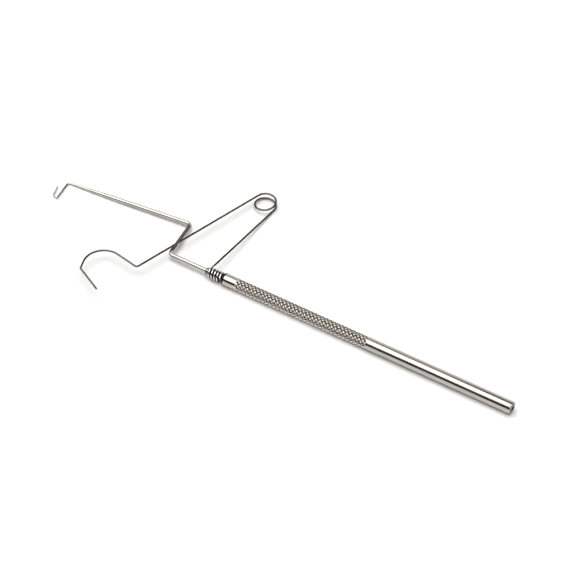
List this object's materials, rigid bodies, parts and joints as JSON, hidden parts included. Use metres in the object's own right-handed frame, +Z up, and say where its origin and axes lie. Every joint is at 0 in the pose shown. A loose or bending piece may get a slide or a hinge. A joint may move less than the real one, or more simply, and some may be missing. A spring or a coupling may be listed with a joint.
{
  "type": "rotating whip finisher",
  "caption": "Slim knurled steel hand tool with a freely spinning cranked arm that ends in a fine barb, and a sprung wire with a safety-pin loop and a round hook, for knotting thread.",
  "frame": {"origin": "On the bench under the middle of the whole tool, as it lies flat.", "axes": "+X runs along the handle towards its tail, +Y towards the wire's loop, +Z up from the bench."},
  "size_m": [0.1714, 0.0652, 0.0043],
  "materials": {
    "handle_steel": "fine turned and knurled stainless steel",
    "rod_steel": "polished stainless steel rod",
    "wire_steel": "bright drawn spring wire",
    "bearing_brass": "plain turned brass, hidden in the handle"
  },
  "bodies": {
    "handle": {"handle": "handle_steel", "bearing_bush": "bearing_brass"},
    "arm": {"offset_arm": "rod_steel", "end_collar": "bearing_brass", "spring_bush": "rod_steel", "spring_winding": "wire_steel", "spring_loop": "wire_steel"},
    "hook": {"hook_wire": "wire_steel"}
  },
  "joints": [
    {"name": "arm_spin", "type": "hinge", "parent": "handle", "child": "arm", "pos_m": [-0.01586, -0.0067, 0.00199], "axis": [1, 0, 0], "continuous": true},
    {"name": "spring_flex", "type": "hinge", "parent": "arm", "child": "hook", "pos_m": [-0.02191, 0.0288, 0.0015], "axis": [0, 0.0293, 0.9996], "range_deg": [-8, 8], "stiffness_Nm_per_rad": 0.0203, "deforming": ["spring_loop"]}
  ]
}
